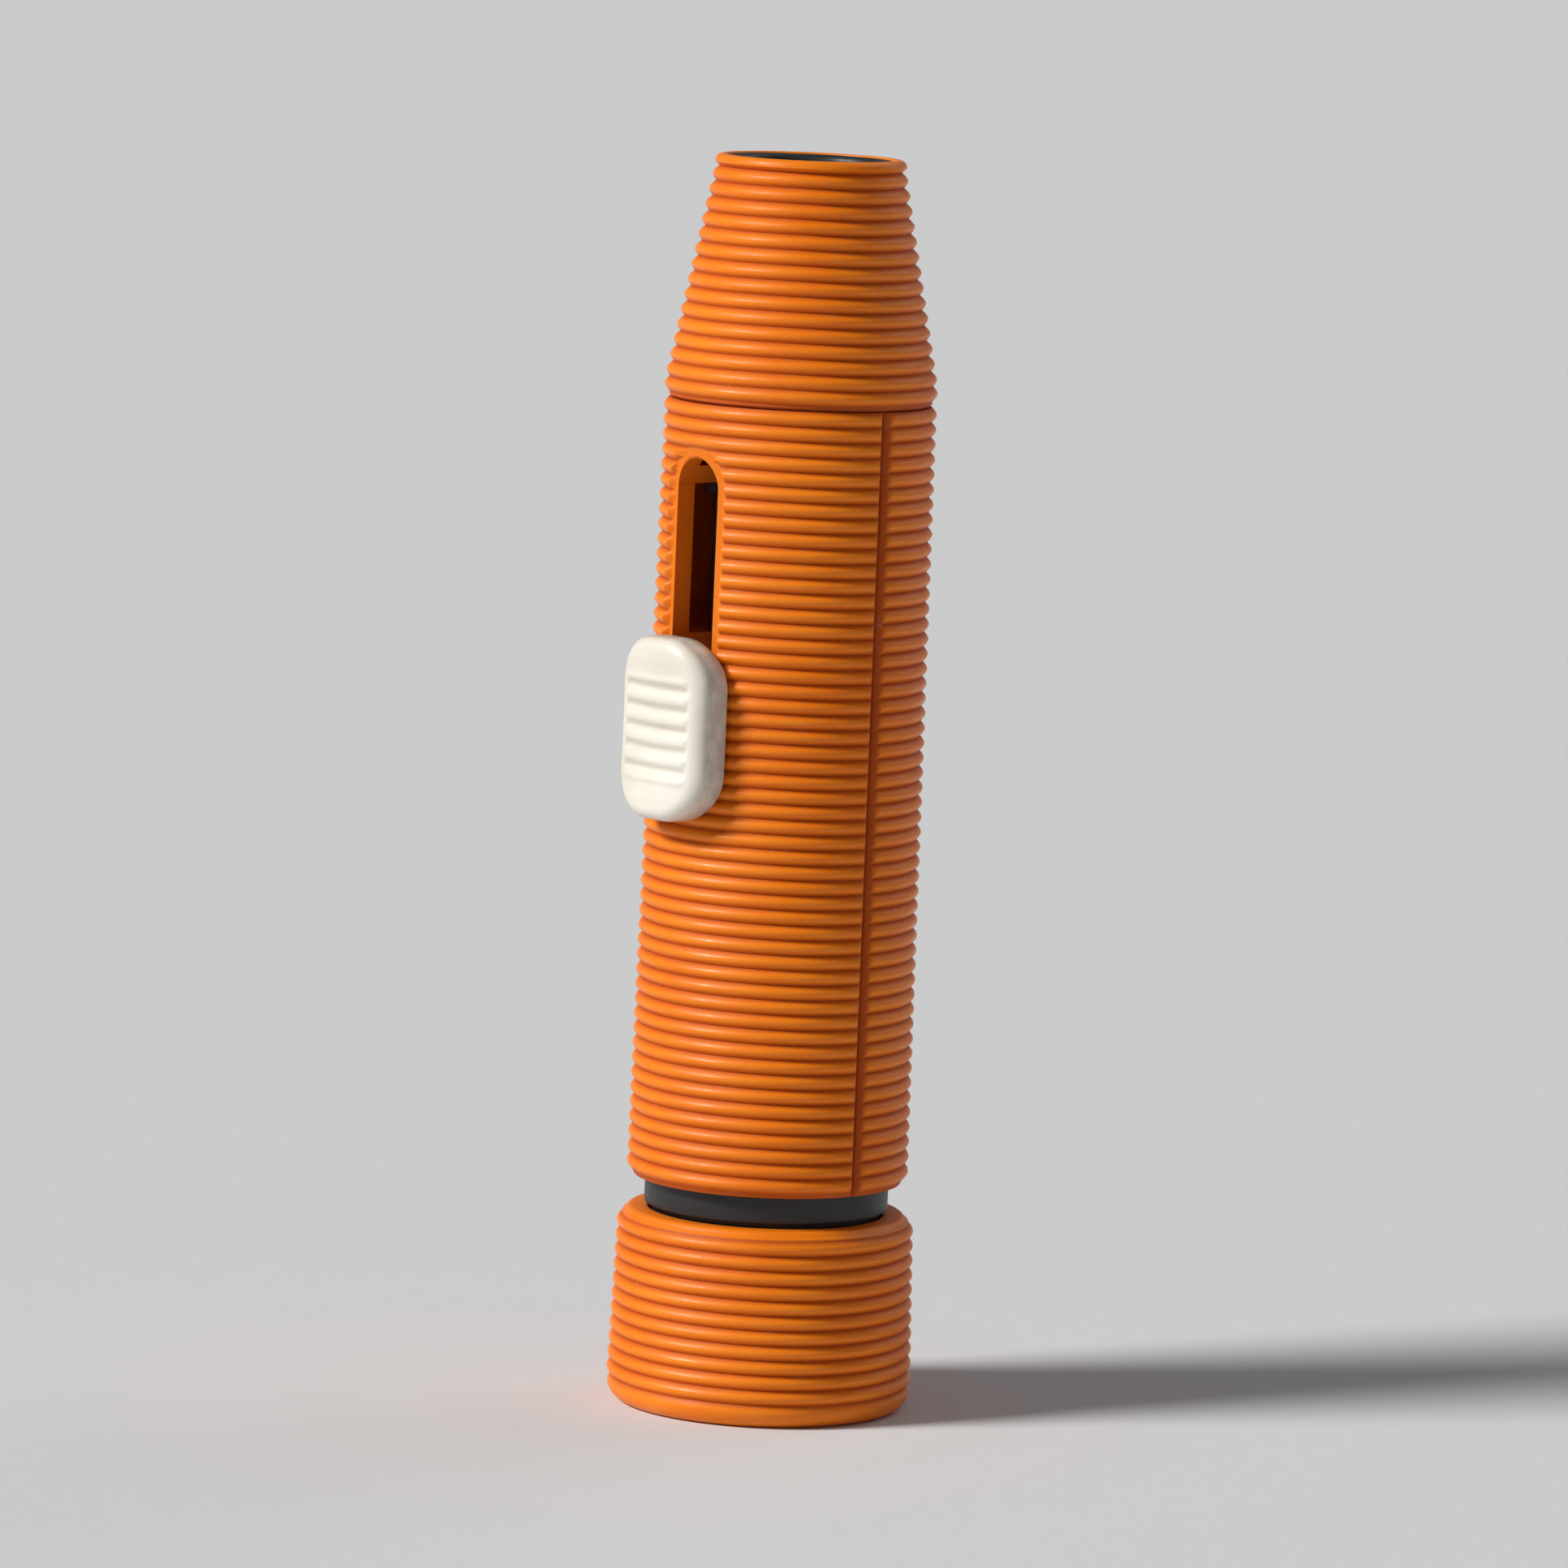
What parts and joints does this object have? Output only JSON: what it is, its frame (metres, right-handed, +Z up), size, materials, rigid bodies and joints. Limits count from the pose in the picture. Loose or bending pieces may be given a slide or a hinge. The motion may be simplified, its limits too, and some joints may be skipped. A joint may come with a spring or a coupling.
{
  "type": "lens cleaning pen",
  "caption": "Pocket pen for cleaning lenses: ribbed orange barrel, a brush that slides out of the tapered end by a thumb button, and a cap over a carbon pad on a flexible neck.",
  "frame": {"origin": "centre of the cap's flat end, on the pen's axis", "axes": "+Z up the pen's axis, from the cap to the mouth that the brush comes out of; the thumb button faces -Y"},
  "size_m": [0.0206, 0.0221, 0.084],
  "materials": {
    "orange_plastic": "fine moulded texture, satin",
    "ivory_plastic": "satin gloss",
    "black_plastic": "fine moulded texture",
    "grey_plastic": "smooth acetal",
    "black_rubber": "matte",
    "spring_steel": "rolled, bright",
    "nickel": "nickel plate, crimped",
    "bristles": "soft natural hair",
    "foam": "open-cell foam",
    "carbon_suede": "suede charged with carbon",
    "carbon_felt": "pressed felt charged with carbon"
  },
  "bodies": {
    "cap": {"cap_shell": "orange_plastic", "cap_liner": "grey_plastic", "felt_foam": "foam", "felt_pad": "carbon_felt"},
    "cap_ring": {"cap_ring": "black_rubber"},
    "barrel": {"front_shell": "orange_plastic", "back_shell": "orange_plastic", "track_tube": "grey_plastic", "nose": "black_plastic", "tip_stem": "black_plastic", "tip_neck": "black_rubber", "tip_holder": "black_plastic", "tip_foam": "foam", "tip_pad": "carbon_suede", "brush_shroud": "orange_plastic", "mouth_bush": "black_plastic"},
    "brush": {"thumb_button": "ivory_plastic", "brush_carriage": "grey_plastic", "detent_spring": "spring_steel", "brush_ferrule": "nickel", "ferrule_plug": "grey_plastic", "brush_tuft": "bristles"}
  },
  "joints": [
    {"name": "brush_slide", "type": "slide", "parent": "barrel", "child": "brush", "axis": [0, 0, 1], "range_m": [0, 0.014]},
    {"name": "cap_twist", "type": "hinge", "parent": "cap", "child": "cap_ring", "pos_m": [0, 0, 0.012], "axis": [0, 0, 1], "continuous": true},
    {"name": "cap_pull", "type": "slide", "parent": "cap_ring", "child": "barrel", "axis": [0, 0, 1], "range_m": [0, 0.03]}
  ]
}
